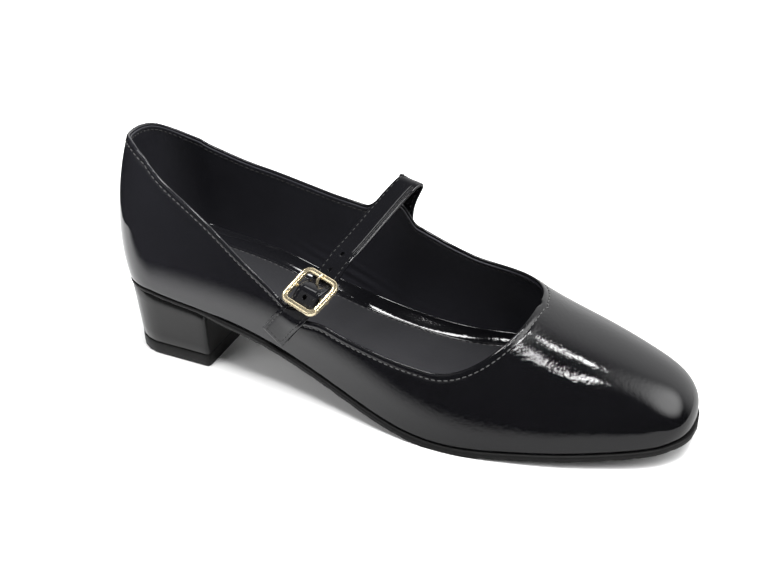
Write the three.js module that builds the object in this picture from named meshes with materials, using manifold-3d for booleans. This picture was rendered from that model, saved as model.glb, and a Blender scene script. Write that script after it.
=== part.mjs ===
// Right mary jane shoe on a low block heel: last-shaped upper, sole, heel, strap and buckle.
// Millimetres. While it is worked out, x runs from the heel to the toe, y to the inner (big toe)
// side and z up from the ground. The finished shoe is then set down with its middle on the origin.
import * as THREE from 'three';
import { mergeVertices } from 'three/addons/utils/BufferGeometryUtils.js';
import Module from 'manifold-3d';

const wasm = await Module();
wasm.setup();

// ---------------------------------------------------------------- driving dimensions
const GAP = 0.3;                 // clearance between pieces that touch
const WALL = 1.8;                // upper: leather, lining and glue
const MIDDLE = { x: 124.731, y: -1.228 };   // middle of the finished shoe, in last coordinates

const HEEL_END = 26;             // station where the round heel runs into the straight waist
const TOE_END = 258;             // last station, the feather edge across the toe
const HEEL_DEPTH = 19.6;         // from that station back to the heel point
const HEEL_ROUND = 2.15;         // exponent of the heel outline, 2 is a circle

const SOLE_EDGE = 0.8;           // sole shows this far outside the upper
const SOLE_THICK = 2.4;          // forepart and waist
const SEAT_EDGE = -0.3;          // on the heel seat the sole edge lies just inside the upper
const SEAT_THICK = 1.6;
const SOCK_INSET = 2.6;          // insole edge, inside the feather line
const SOCK_THICK = 2.2;
const SOCK_LIFT = 0.1;           // insole over the feather edge
const END_TRIM = 0.12;           // first and last rows of a round outline lie this far inside it
// The sole is worn flat under the ball: full depth from 'full' to 'hold', fading out each way.
const FLAT_SPOT = { start: 140, full: 150, hold: 165, end: 180, depth: 0.35 };

const BREAST_X = 50.4;           // flat front face of the heel
const HEEL_TOP_INSET = 0.6;
const HEEL_FOOT_INSET = 1.7;
const HEEL_RAKE = 2.3;           // the back of the heel leans forward this much going down
const TOP_PIECE = 5.4;           // rubber top piece under the heel block

const STRAP_WIDTH = 11.4;
const STRAP_THICK = 1.5;
const TAB_WIDTH = 10.8;
const TAB_THICK = 1.0;
const TAB_DEPTH = 3.5;           // tab middle, below the strap line
const PRONG_RADIUS = 0.55;

const BUCKLE = {
  across: 18.6, along: 17.4, corner: 4.0, bar: 2.1, thick: 1.5, rise: 0.6, pinRadius: 0.7, pinDrop: 0.9,
};

// One row for each station of the last. foot: feather edge, lat and med: its half widths,
// crest: top of the section, tilt: outward lean of the wall in degrees at the feather edge,
// rise and run: fullness of the section at its foot and at its crest.
const STATION_COLUMNS =
  'station footX lat med footZ crestX crestY crestZ tiltLat tiltMed rise run'.split(' ');
const STATIONS = [
  [0, 26, 26, 25, 33.0, 27, 0, 118, 14, 14, 0.40, 0.62],
  [13, 26, 26, 25, 32.8, 27, 0, 118, 13, 13, 0.38, 0.63],
  [26, 26, 26, 25, 31.6, 27, 0, 118, 10, 10, 0.35, 0.68],
  [55, 55, 27, 24.5, 27.4, 55, 1, 112, 9, 13, 0.34, 0.80],
  [85, 85, 29, 22, 20.8, 85, 2, 101, 10, 17, 0.33, 0.86],
  [115, 115, 34, 25, 11.2, 115, 2.5, 85, 8, 15, 0.33, 0.87],
  [145, 145, 39.5, 32.5, 3.6, 145, 1, 67, 6, 9, 0.33, 0.84],
  [165, 165, 40, 37, 3.0, 166, 0, 57.0, 5, 5, 0.34, 0.80],
  [185, 184, 37, 37.5, 4.4, 186, 0.25, 46.8, 4, 4, 0.36, 0.78],
  [205, 202, 32.5, 34.5, 5.8, 207, 1, 39.2, 4, 4, 0.40, 0.76],
  [222, 216, 27.5, 30, 6.9, 225, 1.25, 32.6, 4, 4, 0.45, 0.74],
  [236, 226, 23.5, 26, 7.9, 236.7, 1.25, 27.0, 4, 4, 0.50, 0.72],
  [246, 232, 20.5, 23, 8.6, 242.3, 1.25, 21.6, 4, 4, 0.50, 0.70],
  [252, 235.5, 18.3, 20.8, 9.0, 244.6, 1.25, 16.6, 4, 4, 0.50, 0.68],
  [258, 237.5, 16.5, 19, 9.3, 244.7, 1.25, 10.0, 4, 4, 0.50, 0.66],
];

// Height of the topline over the ground along each side, back to front.
const TOPLINE_COLUMNS = 'station lat med'.split(' ');
const TOPLINE = [
  [0, 91.1, 91.1],
  [8, 92.5, 88.6],
  [13, 93.4, 85.5],
  [18, 93.0, 82.4],
  [22, 91.4, 80.3],
  [27, 88.4, 78.6],
  [31, 86.0, 77.5],
  [36, 82.5, 76.1],
  [42, 78.2, 74.1],
  [48, 73.8, 72.0],
  [58, 65.7, 69.8],
  [70, 56.1, 67.8],
  [80, 49.6, 66.4],
  [88, 43.8, 65.2],
  [96, 38.6, 64.2],
  [104, 38.8, 63.0],
  [112, 37.2, 61.6],
  [124, 35.0, 57.8],
  [136, 33.3, 52.2],
  [148, 32.2, 47.6],
];
// The inner side rises into an ear that carries the strap.
const EAR = { back: 101, top: 111.5, front: 117.5, end: 123, rise: 9.0 };
// Front of the opening in plan: a flattened half ellipse from the last topline station.
const THROAT = { reach: 33.6, round: 2.4 };

// Middle line of the strap and the tab, from the outer quarter over the instep to the inner
// quarter, with the direction that points across the strap, towards the toe.
const STRAP_LINE_COLUMNS = 'x y z acrossX acrossY acrossZ'.split(' ');
const STRAP_LINE = [
  [83.8, -35.1, 27.6, 0.80, -0.10, -0.60],
  [89.3, -35.8, 35.2, 0.81, -0.12, -0.58],
  [93.4, -36.0, 40.9, 0.82, -0.24, -0.52],
  [95.9, -33.4, 44.8, 0.82, -0.42, -0.33],
  [99.1, -27.2, 48.7, 0.85, -0.50, -0.16],
  [102.6, -18.4, 54.5, 0.90, -0.43, -0.06],
  [106.7, -8.3, 59.6, 0.924, -0.383, 0],
  [110.4, 2.1, 64.9, 0.924, -0.383, 0],
  [114.1, 13.0, 70.4, 0.924, -0.383, 0],
  [116.8, 19.4, 74.1, 0.93, -0.37, 0],
  [119.2, 25.2, 75.9, 0.94, -0.34, 0],
  [118.0, 25.7, 72.2, 0.96, -0.26, 0.02],
  [116.2, 23.9, 66.6, 0.985, -0.15, 0.03],
  [115.0, 24.1, 60.0, 1, -0.03, 0.02],
  [114.4, 26.1, 52.0, 1, 0, 0.02],
];
const BUCKLE_ROW = 4;            // row of the strap line under the middle of the buckle
const STRAP_START_ROW = 3;       // the strap's free end, just past the lower bar of the buckle

// ---------------------------------------------------------------- curves through the tables
// Natural cubic spline through (xs, ys).
function spline(xs, ys) {
  const last = xs.length - 1;
  const bend = xs.map(() => 0);
  const over = xs.map(() => 0);
  const rest = xs.map(() => 0);
  for (let i = 1; i < last; i++) {
    const before = xs[i] - xs[i - 1];
    const after = xs[i + 1] - xs[i];
    const load = 6 * ((ys[i + 1] - ys[i]) / after - (ys[i] - ys[i - 1]) / before);
    const pivot = 2 * (before + after) - before * over[i - 1];
    over[i] = after / pivot;
    rest[i] = (load - before * rest[i - 1]) / pivot;
  }
  for (let i = last - 1; i > 0; i--) bend[i] = rest[i] - over[i] * bend[i + 1];
  return (x) => {
    let i = 0;
    while (i < last - 1 && x > xs[i + 1]) i++;
    const span = xs[i + 1] - xs[i];
    const t = x - xs[i];
    const r = xs[i + 1] - x;
    const cubic = (bend[i] * r ** 3 + bend[i + 1] * t ** 3) / (6 * span);
    const left = (ys[i] / span - bend[i] * span / 6) * r;
    const right = (ys[i + 1] / span - bend[i + 1] * span / 6) * t;
    return cubic + left + right;
  };
}

// A spline for each named column of a table, over its first column or over the given keys.
function splines(columns, rows, keys = rows.map((row) => row[0])) {
  return Object.fromEntries(columns.map((name, k) => [name, spline(keys, rows.map((row) => row[k]))]));
}

const smoothstep = (from, to, x) => {
  const t = Math.min(1, Math.max(0, (x - from) / (to - from)));
  return t * t * (3 - 2 * t);
};
const vec = (x, y, z) => new THREE.Vector3(x, y, z);
const last = splines(STATION_COLUMNS, STATIONS);
const LAT = -1;
const MED = 1;

// ---------------------------------------------------------------- surface of the last
// Feather edge at a station, on one side.
function footPoint(u, side) {
  const half = side === LAT ? last.lat : last.med;
  if (u >= HEEL_END) return vec(last.footX(u), side * half(u), last.footZ(u));
  const turn = (1 - u / HEEL_END) * Math.PI / 2;
  const back = HEEL_DEPTH * Math.sin(turn) ** (2 / HEEL_ROUND);
  const wide = half(HEEL_END) * Math.cos(turn) ** (2 / HEEL_ROUND);
  return vec(last.footX(HEEL_END) - back, side * wide, last.footZ(u));
}

// Outside surface: at each station a cubic arch runs from the feather edge (t = 0) to the
// crest (t = 1). The arches stand round the heel like staves and fan forward at the toe.
function lastPoint(u, side, t) {
  const foot = footPoint(u, side);
  const round = u < HEEL_END;
  const crest = vec(last.crestX(round ? HEEL_END : u), last.crestY(round ? HEEL_END : u), last.crestZ(u));
  const out = round ? vec(foot.x - last.footX(HEEL_END), foot.y, 0).normalize() : vec(0, side, 0);
  const fore = smoothstep(60, 150, u);
  const tilt = THREE.MathUtils.degToRad((side === LAT ? last.tiltLat : last.tiltMed)(u));
  const height = crest.z - foot.z;
  const low = foot.clone();
  low.addScaledVector(vec(0, 0, 1).addScaledVector(out, Math.tan(tilt)), height * last.rise(u));
  if (fore > 0) {
    const step = 0.5;
    const along = footPoint(Math.min(TOE_END, u + step), side);
    along.sub(footPoint(u - step, side)).setZ(0).normalize();
    low.addScaledVector(along, fore * (crest.x - foot.x) * last.rise(u));
  }
  const high = crest.clone();
  high.x += (1 - fore) * last.run(u) * (foot.x - crest.x);
  high.y += last.run(u) * (foot.y - crest.y);
  const s = 1 - t;
  return vec(0, 0, 0)
    .addScaledVector(foot, s ** 3)
    .addScaledVector(low, 3 * s * s * t)
    .addScaledVector(high, 3 * s * t * t)
    .addScaledVector(crest, t ** 3);
}

// Parameter t in 0..1 at which a rising function passes a value.
function solve(rising, value) {
  let low = 0;
  let high = 1;
  for (let i = 0; i < 40; i++) {
    const middle = (low + high) / 2;
    if (rising(middle) < value) low = middle;
    else high = middle;
  }
  return (low + high) / 2;
}

// ---------------------------------------------------------------- edges of the upper
const topline = splines(TOPLINE_COLUMNS, TOPLINE);
const THROAT_START = TOPLINE.at(-1)[0];

// Topline height along a side, with the inner ear.
function toplineHeight(u, side) {
  if (side === LAT) return topline.lat(u);
  return topline.med(u)
    + EAR.rise * smoothstep(EAR.back, EAR.top, u) * (1 - smoothstep(EAR.front, EAR.end, u));
}

// Topline on the last along the quarter, as station and arch parameter.
function quarterTop(u, side) {
  return { u, t: solve((t) => lastPoint(u, side, t).z, toplineHeight(u, side)) };
}

// Topline round the throat: turn goes from 0 at the quarter to 1 on the crest.
function throatTop(turn, side) {
  const start = quarterTop(THROAT_START, side);
  const edge = lastPoint(start.u, side, start.t);
  const angle = turn * Math.PI / 2;
  const power = 2 / THROAT.round;
  const x = edge.x + THROAT.reach * Math.sin(angle) ** power;
  const y = side * edge.y * Math.cos(angle) ** power;
  if (turn >= 1) return { u: x, t: 1 };
  let u = x;
  let t = 1;
  for (let i = 0; i < 12; i++) {
    const shift = Math.sin(angle) ** 6 * side * last.crestY(u);
    t = solve((s) => -side * lastPoint(u, side, s).y, -(y + shift));
    u += x - lastPoint(u, side, t).x;
  }
  return { u, t };
}

// Feather edge: back to toe corner along the side, then in to the middle of the toe.
function featherPoint(part, side) {
  const corner = 0.84;
  if (part <= corner) return { u: THROAT_START + (TOE_END - THROAT_START) * part / corner, t: 0 };
  return { u: TOE_END, t: (part - corner) / (1 - corner) };
}

// Stations of the columns of one side, closer together where the topline bends.
function quarterStations(side) {
  const marks = side === LAT ? [84, 108, 2.7] : [94, 128, 1.8];
  const stations = [];
  for (let u = 0; u < THROAT_START - 2;) {
    stations.push(u);
    if (u < HEEL_END) u += HEEL_END / 6;
    else if (u >= marks[0] && u < marks[1]) u += marks[2];
    else u += 5.4;
  }
  return stations;
}

// Columns of the upper on one side, each from the feather edge to the topline.
function sideColumns(side) {
  const columns = quarterStations(side).map((u) => ({ side, foot: { u, t: 0 }, top: quarterTop(u, side) }));
  const count = 21;
  for (let i = 0; i <= count; i++) {
    const part = i / count;
    columns.push({ side, foot: featherPoint(part, side), top: throatTop(part, side) });
  }
  return columns;
}

// All columns in order round the shoe: outer side forward, inner side back to the heel.
function upperColumns() {
  const outer = sideColumns(LAT);
  const inner = sideColumns(MED).slice(1, -1).reverse();
  return [...outer, ...inner];
}

// Points of a column, spaced evenly along the surface.
function columnPoints({ side, foot, top }, rows) {
  const fine = 48;
  const path = [];
  for (let i = 0; i <= fine; i++) {
    const k = i / fine;
    path.push(lastPoint(foot.u + (top.u - foot.u) * k, side, foot.t + (top.t - foot.t) * k));
  }
  const reach = [0];
  for (let i = 1; i <= fine; i++) reach.push(reach[i - 1] + path[i].distanceTo(path[i - 1]));
  const points = [];
  let i = 1;
  for (let row = 0; row <= rows; row++) {
    const goal = reach[fine] * row / rows;
    while (i < fine && reach[i] < goal) i++;
    const k = (goal - reach[i - 1]) / (reach[i] - reach[i - 1]);
    points.push(path[i - 1].clone().lerp(path[i], k));
  }
  return points;
}

// ---------------------------------------------------------------- closed meshes
// A geometry from points and faces, turned so that its faces point out.
function closedGeometry(points, faces) {
  const volume = faces.reduce((sum, [a, b, c]) => (
    sum + points[a].dot(vec(0, 0, 0).crossVectors(points[b], points[c]))), 0);
  const index = faces.flatMap(([a, b, c]) => (volume > 0 ? [a, b, c] : [a, c, b]));
  const geometry = new THREE.BufferGeometry();
  geometry.setAttribute('position', new THREE.Float32BufferAttribute(points.flatMap((p) => p.toArray()), 3));
  geometry.setIndex(index);
  geometry.computeVertexNormals();
  return geometry;
}

// Two triangles of a quad.
const quad = (a, b, c, d) => [[a, b, c], [a, c, d]];

// A loft through closed rings of equal size, with flat ends or, if it closes on itself, none.
function loft(rings, closed = false) {
  const size = rings[0].length;
  const faces = [];
  const steps = closed ? rings.length : rings.length - 1;
  for (let i = 0; i < steps; i++) {
    const here = i * size;
    const next = ((i + 1) % rings.length) * size;
    for (let k = 0; k < size; k++) {
      const n = (k + 1) % size;
      faces.push(...quad(here + k, here + n, next + n, next + k));
    }
  }
  if (!closed) {
    const end = (rings.length - 1) * size;
    for (let k = 1; k < size - 1; k++) {
      faces.push([0, k + 1, k]);
      faces.push([end, end + k, end + k + 1]);
    }
  }
  return closedGeometry(rings.flat(), faces);
}

// A slab made of rows across the shoe. Each row gives x, the edges right and left and the
// heights of its two faces.
function slab(rows, across = 4) {
  const rings = rows.map(({ x, right, left, top, bottom }) => {
    const ring = [];
    for (let k = 0; k <= across; k++) ring.push(vec(x, right + (left - right) * k / across, top));
    for (let k = across; k >= 0; k--) ring.push(vec(x, right + (left - right) * k / across, bottom));
    return ring;
  });
  const size = 2 * across + 2;
  const faces = [];
  for (let i = 0; i < rings.length - 1; i++) {
    for (let k = 0; k < size; k++) {
      const n = (k + 1) % size;
      faces.push(...quad(i * size + k, i * size + n, (i + 1) * size + n, (i + 1) * size + k));
    }
  }
  for (const [start, turn] of [[0, 1], [(rings.length - 1) * size, -1]]) {
    for (let k = 0; k < across; k++) {
      const q = quad(start + k, start + size - 1 - k, start + size - 2 - k, start + k + 1);
      faces.push(...q.map(([a, b, c]) => (turn > 0 ? [a, b, c] : [a, c, b])));
    }
  }
  return closedGeometry(rings.flat(), faces);
}

function toManifold(geometry) {
  const bare = geometry.clone();
  bare.deleteAttribute('normal');
  bare.deleteAttribute('uv');
  const merged = mergeVertices(bare, 1e-5);
  return new wasm.Manifold(new wasm.Mesh({
    numProp: 3,
    vertProperties: Float32Array.from(merged.attributes.position.array),
    triVerts: Uint32Array.from(merged.index.array),
  }));
}

function fromManifold(solid) {
  const mesh = solid.getMesh();
  const geometry = new THREE.BufferGeometry();
  geometry.setAttribute('position', new THREE.BufferAttribute(mesh.vertProperties, 3));
  geometry.setIndex(new THREE.BufferAttribute(mesh.triVerts, 1));
  geometry.computeVertexNormals();
  return geometry;
}

// ---------------------------------------------------------------- upper
function upperGeometry() {
  const rows = 10;
  const outer = upperColumns().map((column) => columnPoints(column, rows));
  const count = outer.length;
  const inner = outer.map((points, i) => points.map((point, j) => {
    const round = outer[(i + 1) % count][j].clone().sub(outer[(i + count - 1) % count][j]);
    const up = points[Math.min(rows, j + 1)].clone().sub(points[Math.max(0, j - 1)]);
    const normal = round.cross(up).normalize();
    const inside = point.clone().addScaledVector(normal, -WALL);
    if (j === 0) inside.z = Math.max(inside.z, point.z);
    return inside;
  }));
  // each ring runs up the outside and down the inside, and the rings close round the shoe
  return loft(outer.map((points, i) => [...points, ...inner[i].slice().reverse()]), true);
}

// ---------------------------------------------------------------- sole, insole and heel
// Feather outline in plan on one side, moved out by an offset, from the heel to the toe.
function outline(side, offset) {
  const path = [];
  for (let u = 0; u < TOE_END; u += 2) path.push(footPoint(u, side));
  for (let t = 0; t <= 1.001; t += 0.05) path.push(lastPoint(TOE_END, side, Math.min(1, t)));
  return path.map((point, i) => {
    const before = path[Math.max(0, i - 1)];
    const after = path[Math.min(path.length - 1, i + 1)];
    const along = after.clone().sub(before).setZ(0);
    if (i === 0 || i === path.length - 1) along.set(0, side, 0);
    if (i === path.length - 1) along.y = -side;
    along.normalize();
    const d = offset(point.x);
    return vec(point.x - side * along.y * d, point.y + side * along.x * d, 0);
  });
}

// Half width of an outline at x.
function edgeAt(path, x) {
  for (let i = 1; i < path.length; i++) {
    const [a, b] = [path[i - 1], path[i]];
    if (x <= b.x && x >= a.x) return a.y + (b.y - a.y) * (x - a.x) / Math.max(1e-6, b.x - a.x);
  }
  return path[x < path[0].x ? 0 : path.length - 1].y;
}

// Height of the feather edge over the ground at x.
const seatFeet = [1, 8, 14, 20, 26, 33, 40, 47].map((u) => footPoint(u, LAT));
const featherRows = STATIONS.filter(([u]) => u > HEEL_END);
const featherSpline = spline(
  [...seatFeet.map((foot) => foot.x), ...featherRows.map((row) => row[1]), 244.7],
  [...seatFeet.map((foot) => foot.z), ...featherRows.map((row) => row[4]), 9.9],
);
const featherHeight = (x) => featherSpline(Math.min(246, Math.max(4, x)));

// x of the rows, close together at the round ends.
function rowPlaces(from, to, count, roundEnd = true) {
  return Array.from({ length: count + 1 }, (_, i) => {
    const k = i / count;
    const eased = roundEnd ? (1 - Math.cos(Math.PI * k)) / 2 : 1 - Math.cos(Math.PI * k / 2);
    return from + (to - from) * (0.45 * k + 0.55 * eased);
  });
}

const seatShare = (x) => 1 - smoothstep(46, 62, x);
const soleTop = (x) => featherHeight(x) - GAP;
const soleThick = (x) => SOLE_THICK + (SEAT_THICK - SOLE_THICK) * seatShare(x);
const flatShare = (x) => smoothstep(FLAT_SPOT.start, FLAT_SPOT.full, x)
  * (1 - smoothstep(FLAT_SPOT.hold, FLAT_SPOT.end, x));
const soleBottom = (x) => Math.max(0, soleTop(x) - soleThick(x) - FLAT_SPOT.depth * flatShare(x));

function outsoleGeometry() {
  const offset = (x) => SOLE_EDGE + (SEAT_EDGE - SOLE_EDGE) * seatShare(x);
  const [right, left] = [outline(LAT, offset), outline(MED, offset)];
  const from = right[0].x + END_TRIM;
  const to = right.at(-1).x - END_TRIM;
  return slab(rowPlaces(from, to, 60).map((x) => ({
    x, right: edgeAt(right, x), left: edgeAt(left, x), top: soleTop(x), bottom: soleBottom(x),
  })));
}

function insoleGeometry() {
  const [right, left] = [outline(LAT, () => -SOCK_INSET), outline(MED, () => -SOCK_INSET)];
  const from = right[0].x + END_TRIM;
  const to = right.at(-1).x - END_TRIM;
  return slab(rowPlaces(from, to, 46).map((x) => {
    const bottom = featherHeight(x) + SOCK_LIFT;
    return { x, right: edgeAt(right, x), left: edgeAt(left, x), top: bottom + SOCK_THICK, bottom };
  }));
}

// x of a heel outline drawn together towards the breast, a share k of the way down.
const raked = (x, back, k) => BREAST_X - (BREAST_X - x) * (1 - HEEL_RAKE * k / (BREAST_X - back));

function heelBlockGeometry() {
  const inset = (k) => HEEL_TOP_INSET + (HEEL_FOOT_INSET - HEEL_TOP_INSET) * k;
  const foot = TOP_PIECE + GAP;
  const levels = 3;
  const count = 22;
  const grid = [];
  for (let level = 0; level <= levels; level++) {
    const k = level / levels;
    const offset = () => -inset(k);
    const [right, left] = [outline(LAT, offset), outline(MED, offset)];
    const places = rowPlaces(right[0].x + END_TRIM, BREAST_X, count, false);
    const back = places.map((x) => ({ x, right: edgeAt(right, x), left: edgeAt(left, x) }));
    const ring = [...back.map((r) => vec(r.x, r.right, 0)), ...back.reverse().map((r) => vec(r.x, r.left, 0))];
    for (const p of ring) {
      p.x = raked(p.x, right[0].x, k);
      p.z = (soleBottom(p.x) - GAP) * (1 - k) + foot * k;
    }
    grid.push(ring);
  }
  return heelSolid(grid, count);
}

function topPieceGeometry() {
  const offset = () => -HEEL_FOOT_INSET;
  const [right, left] = [outline(LAT, offset), outline(MED, offset)];
  const places = rowPlaces(right[0].x + END_TRIM, BREAST_X, 22, false);
  return slab(places.map((x) => ({
    x: raked(x, right[0].x, 1), right: edgeAt(right, x), left: edgeAt(left, x), top: TOP_PIECE, bottom: 0,
  })), 2);
}

// A heel from outline rings stacked from the seat down: side walls and row by row ends.
function heelSolid(rings, count) {
  const size = rings[0].length;
  const faces = [];
  for (let i = 0; i < rings.length - 1; i++) {
    for (let k = 0; k < size; k++) {
      const n = (k + 1) % size;
      faces.push(...quad(i * size + k, i * size + n, (i + 1) * size + n, (i + 1) * size + k));
    }
  }
  const end = (rings.length - 1) * size;
  for (let k = 0; k < count; k++) {
    const [a, b, c, d] = [k, k + 1, size - 2 - k, size - 1 - k];
    faces.push(...quad(a, d, c, b));
    faces.push(...quad(end + a, end + b, end + c, end + d));
  }
  return closedGeometry(rings.flat(), faces);
}

// ---------------------------------------------------------------- strap, tab and buckle
const strapReach = [0];
for (let i = 1; i < STRAP_LINE.length; i++) {
  const [here, before] = [STRAP_LINE[i], STRAP_LINE[i - 1]].map(([x, y, z]) => vec(x, y, z));
  strapReach.push(strapReach[i - 1] + here.distanceTo(before));
}
const strapLine = splines(STRAP_LINE_COLUMNS, STRAP_LINE, strapReach);
const BUCKLE_REACH = strapReach[BUCKLE_ROW];

// Place on the strap line at a distance from the tab's end: the point, and the directions
// along, across and out.
function strapFrame(reach) {
  const step = 0.2;
  const at = (k) => vec(strapLine.x(k), strapLine.y(k), strapLine.z(k));
  const along = at(reach + step).sub(at(reach - step)).normalize();
  const across = vec(strapLine.acrossX(reach), strapLine.acrossY(reach), strapLine.acrossZ(reach));
  across.addScaledVector(along, -across.dot(along)).normalize();
  const out = vec(0, 0, 0).crossVectors(across, along).normalize();
  return { point: at(reach), along, across, out };
}

// A flat band with eased edges, whose middle lies at a height over the strap line.
function bandGeometry(from, to, steps, width, thick, height) {
  const ease = 0.35;
  const section = [[-1, -1, 1, 0], [-1, -1, 0, 1], [-1, 1, 0, 1], [-1, 1, 1, 0],
    [1, 1, 1, 0], [1, 1, 0, 1], [1, -1, 0, 1], [1, -1, 1, 0]];
  const rings = [];
  for (let i = 0; i <= steps; i++) {
    const reach = from + (to - from) * i / steps;
    const frame = strapFrame(reach);
    const lift = height(reach - BUCKLE_REACH);
    rings.push(section.map(([a, b, easeA, easeB]) => frame.point.clone()
      .addScaledVector(frame.across, a * (width / 2 - ease * easeA))
      .addScaledVector(frame.out, lift + b * (thick / 2 - ease * easeB))));
  }
  return loft(rings);
}

// The strap goes under the end bars of the buckle and over its pin.
function strapHeight(reach) {
  const under = BUCKLE.rise - BUCKLE.thick / 2 - 3.4 * GAP - STRAP_THICK / 2;
  const over = BUCKLE.pinRadius - BUCKLE.pinDrop + GAP + STRAP_THICK / 2;
  const half = BUCKLE.along / 2 - BUCKLE.bar / 2;
  if (reach > half) return under * (1 - smoothstep(half, 3 * half, reach));
  const share = (1 + Math.cos(Math.PI * Math.min(1, Math.abs(reach) / half))) / 2;
  return under + (over - under) * share;
}

// Flat plate of the buckle seen from above, in its own plane.
function roundedRectangle(target, across, along, corner) {
  const [a, b] = [across / 2, along / 2];
  target.moveTo(-a + corner, -b);
  target.lineTo(a - corner, -b);
  target.quadraticCurveTo(a, -b, a, -b + corner);
  target.lineTo(a, b - corner);
  target.quadraticCurveTo(a, b, a - corner, b);
  target.lineTo(-a + corner, b);
  target.quadraticCurveTo(-a, b, -a, b - corner);
  target.lineTo(-a, -b + corner);
  target.quadraticCurveTo(-a, -b, -a + corner, -b);
  return target;
}

// Turns a geometry made in the buckle's own axes (across, along, out) into its place.
function placeOnStrap(geometry) {
  const { point, along, across, out } = strapFrame(BUCKLE_REACH);
  const matrix = new THREE.Matrix4().makeBasis(across, along, out).setPosition(point);
  return geometry.applyMatrix4(matrix);
}

function buckleGeometry() {
  const shape = roundedRectangle(new THREE.Shape(), BUCKLE.across, BUCKLE.along, BUCKLE.corner);
  const inside = BUCKLE.bar * 2;
  shape.holes.push(roundedRectangle(
    new THREE.Path(), BUCKLE.across - inside, BUCKLE.along - inside, BUCKLE.corner - 1.2));
  const edge = 0.25;
  const ring = new THREE.ExtrudeGeometry(shape, {
    depth: BUCKLE.thick - 2 * edge, bevelEnabled: true, bevelSegments: 1,
    bevelSize: edge, bevelOffset: -edge, bevelThickness: edge, curveSegments: 5,
  });
  ring.translate(0, 0, BUCKLE.rise - BUCKLE.thick / 2 + edge);
  // the pin hangs a little low between the sides, carried by a lug at each end
  const pin = new THREE.CylinderGeometry(
    BUCKLE.pinRadius, BUCKLE.pinRadius, BUCKLE.across - 0.8, 10);
  pin.rotateZ(Math.PI / 2);
  pin.translate(0, 0, -BUCKLE.pinDrop);
  let solid = toManifold(ring).add(toManifold(pin));
  for (const side of [-1, 1]) {
    const lug = new THREE.BoxGeometry(1.1, 1.8, BUCKLE.pinDrop + BUCKLE.rise + 0.5);
    lug.translate(side * (BUCKLE.across / 2 - 0.95), 0, (BUCKLE.rise - BUCKLE.pinDrop - 0.5) / 2);
    solid = solid.add(toManifold(lug));
  }
  return placeOnStrap(fromManifold(solid));
}

// Middle line of the prong: from beside the pin up through the strap and on to the far bar.
function prongCurve() {
  const rest = BUCKLE.rise + BUCKLE.thick / 2 + PRONG_RADIUS + GAP;
  return new THREE.CatmullRomCurve3([
    vec(0, 1.7, -BUCKLE.pinDrop - 0.4), vec(0, 3.6, -0.2), vec(0, 4.8, rest - 0.7),
    vec(0, 6.1, rest), vec(0, BUCKLE.along / 2 - 0.5, rest),
  ]);
}

function prongGeometry(radius) {
  const shape = new THREE.Shape();
  shape.absarc(0, 0, radius, 0, 2 * Math.PI, false);
  return new THREE.ExtrudeGeometry(shape, {
    steps: 14, bevelEnabled: false, curveSegments: 10, extrudePath: prongCurve(),
  });
}

function strapGeometry() {
  const band = bandGeometry(
    strapReach[STRAP_START_ROW], strapReach.at(-1), 84, STRAP_WIDTH, STRAP_THICK, strapHeight);
  const hole = placeOnStrap(prongGeometry(PRONG_RADIUS + GAP));
  return fromManifold(toManifold(band).subtract(toManifold(hole)));
}

function tabGeometry() {
  return bandGeometry(0, BUCKLE_REACH + 1, 34, TAB_WIDTH, TAB_THICK, () => -TAB_DEPTH);
}

// ---------------------------------------------------------------- finishes
const patent = new THREE.MeshStandardMaterial({ color: 0x0b0b0d, roughness: 0.12, metalness: 0 });
const leather = new THREE.MeshStandardMaterial({ color: 0x1b1b1e, roughness: 0.55, metalness: 0 });
const soleRubber = new THREE.MeshStandardMaterial({ color: 0x101011, roughness: 0.6, metalness: 0 });
const heelGloss = new THREE.MeshStandardMaterial({ color: 0x0d0d0e, roughness: 0.2, metalness: 0 });
const paleGold = new THREE.MeshStandardMaterial({ color: 0xd9c48f, roughness: 0.22, metalness: 1 });

// ---------------------------------------------------------------- assembly
const shoe = new THREE.Group();
shoe.position.set(-MIDDLE.x, -MIDDLE.y, 0);

function addPiece(name, geometry, material) {
  const piece = new THREE.Mesh(geometry, material);
  piece.name = name;
  shoe.add(piece);
}

addPiece('upper', upperGeometry(), patent);
addPiece('outsole', outsoleGeometry(), soleRubber);
addPiece('insole', insoleGeometry(), leather);
addPiece('heel_block', heelBlockGeometry(), heelGloss);
addPiece('heel_top_piece', topPieceGeometry(), soleRubber);
addPiece('strap', strapGeometry(), patent);
addPiece('buckle_tab', tabGeometry(), patent);
addPiece('buckle_frame', buckleGeometry(), paleGold);
addPiece('buckle_prong', placeOnStrap(prongGeometry(PRONG_RADIUS)), paleGold);

export default shoe;
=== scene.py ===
# Looks of a right mary jane shoe in black patent leather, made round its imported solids.
# Shapes are worked out in millimetres of the last: x runs from the heel to the toe, y to the
# inner side and z up from the ground. place() turns them into metres of the shared frame.
import math
from functools import lru_cache

import bmesh
import bpy
from mathutils import Matrix, Quaternion, Vector


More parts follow.
